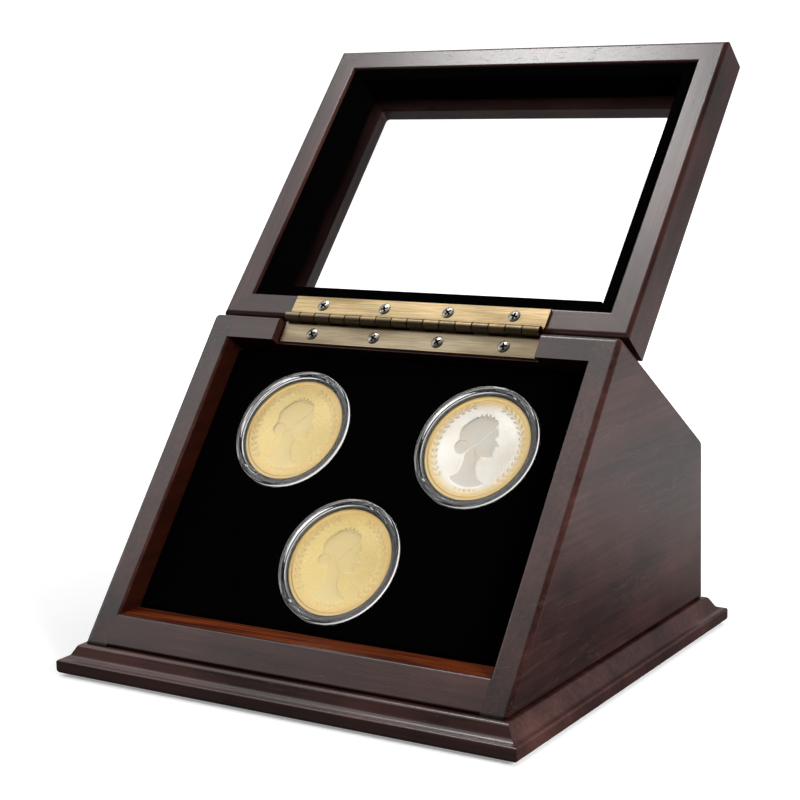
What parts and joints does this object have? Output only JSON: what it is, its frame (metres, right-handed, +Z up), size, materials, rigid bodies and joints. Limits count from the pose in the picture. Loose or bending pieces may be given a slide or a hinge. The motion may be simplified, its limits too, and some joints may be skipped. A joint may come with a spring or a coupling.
{
  "type": "coin display case",
  "caption": "Slant-front wooden coin display case with a hinged glazed lid and a black velvet tray holding coins in clear round capsules.",
  "frame": {"origin": "centre of the underside, on the felt", "axes": "+Z up, -Y towards the viewer in front of the sloping face, +X to the viewer's right; the lid is open"},
  "size_m": [0.182, 0.1917, 0.2125],
  "materials": {
    "stained_wood": "dark walnut stain under satin lacquer",
    "plain_wood": "unfinished plywood and batten",
    "velvet": "black velvet over foam or board",
    "felt": "black felt",
    "hinge_brass": "brushed antique brass",
    "screw_brass": "antique brass with dark recesses",
    "screw_steel": "zinc-plated",
    "glass": "clear float glass",
    "clear_acrylic": "clear, polished",
    "gold_plate": "struck, frosted relief on a bright field"
  },
  "bodies": {
    "case": {"base_board": "stained_wood", "base_felt": "felt", "side_panel_left": "stained_wood", "side_panel_right": "stained_wood", "front_rail": "stained_wood", "top_back_panel": "stained_wood", "back_panel": "stained_wood", "tray_batten_left": "plain_wood", "tray_batten_right": "plain_wood", "base_screws": "screw_steel", "hinge_leaf_case": "hinge_brass", "hinge_pin": "hinge_brass", "hinge_screws_case": "screw_brass"},
    "lid": {"lid_rail_hinge": "stained_wood", "lid_rail_free": "stained_wood", "lid_stile_left": "stained_wood", "lid_stile_right": "stained_wood", "lid_glass": "glass", "lid_liner_left": "velvet", "lid_liner_right": "velvet", "lid_liner_hinge": "velvet", "lid_liner_free": "velvet", "hinge_leaf_lid": "hinge_brass", "hinge_screws_lid": "screw_brass"},
    "tray": {"tray_board": "plain_wood", "tray_velvet": "velvet"},
    "capsule_left": {"capsule_base_left": "clear_acrylic", "coin_left": "gold_plate"},
    "cap_left": {"capsule_cap_left": "clear_acrylic"},
    "capsule_right": {"capsule_base_right": "clear_acrylic", "coin_right": "gold_plate"},
    "cap_right": {"capsule_cap_right": "clear_acrylic"},
    "capsule_lower": {"capsule_base_lower": "clear_acrylic", "coin_lower": "gold_plate"},
    "cap_lower": {"capsule_cap_lower": "clear_acrylic"}
  },
  "joints": [
    {"name": "lid_hinge", "type": "hinge", "parent": "case", "child": "lid", "pos_m": [0, 0.00949, 0.11684], "axis": [-1, 0, 0], "range_deg": [-184, 0]},
    {"name": "tray_lift", "type": "slide", "parent": "case", "child": "tray", "axis": [0, -0.7912, 0.6115], "range_m": [0, 0.04]},
    {"name": "capsule_left_lift", "type": "slide", "parent": "tray", "child": "capsule_left", "axis": [0, -0.7912, 0.6115], "range_m": [0, 0.02]},
    {"name": "cap_left_off", "type": "slide", "parent": "capsule_left", "child": "cap_left", "axis": [0, -0.7912, 0.6115], "range_m": [0, 0.012]},
    {"name": "capsule_right_lift", "type": "slide", "parent": "tray", "child": "capsule_right", "axis": [0, -0.7912, 0.6115], "range_m": [0, 0.02]},
    {"name": "cap_right_off", "type": "slide", "parent": "capsule_right", "child": "cap_right", "axis": [0, -0.7912, 0.6115], "range_m": [0, 0.012]},
    {"name": "capsule_lower_lift", "type": "slide", "parent": "tray", "child": "capsule_lower", "axis": [0, -0.7912, 0.6115], "range_m": [0, 0.02]},
    {"name": "cap_lower_off", "type": "slide", "parent": "capsule_lower", "child": "cap_lower", "axis": [0, -0.7912, 0.6115], "range_m": [0, 0.012]}
  ]
}
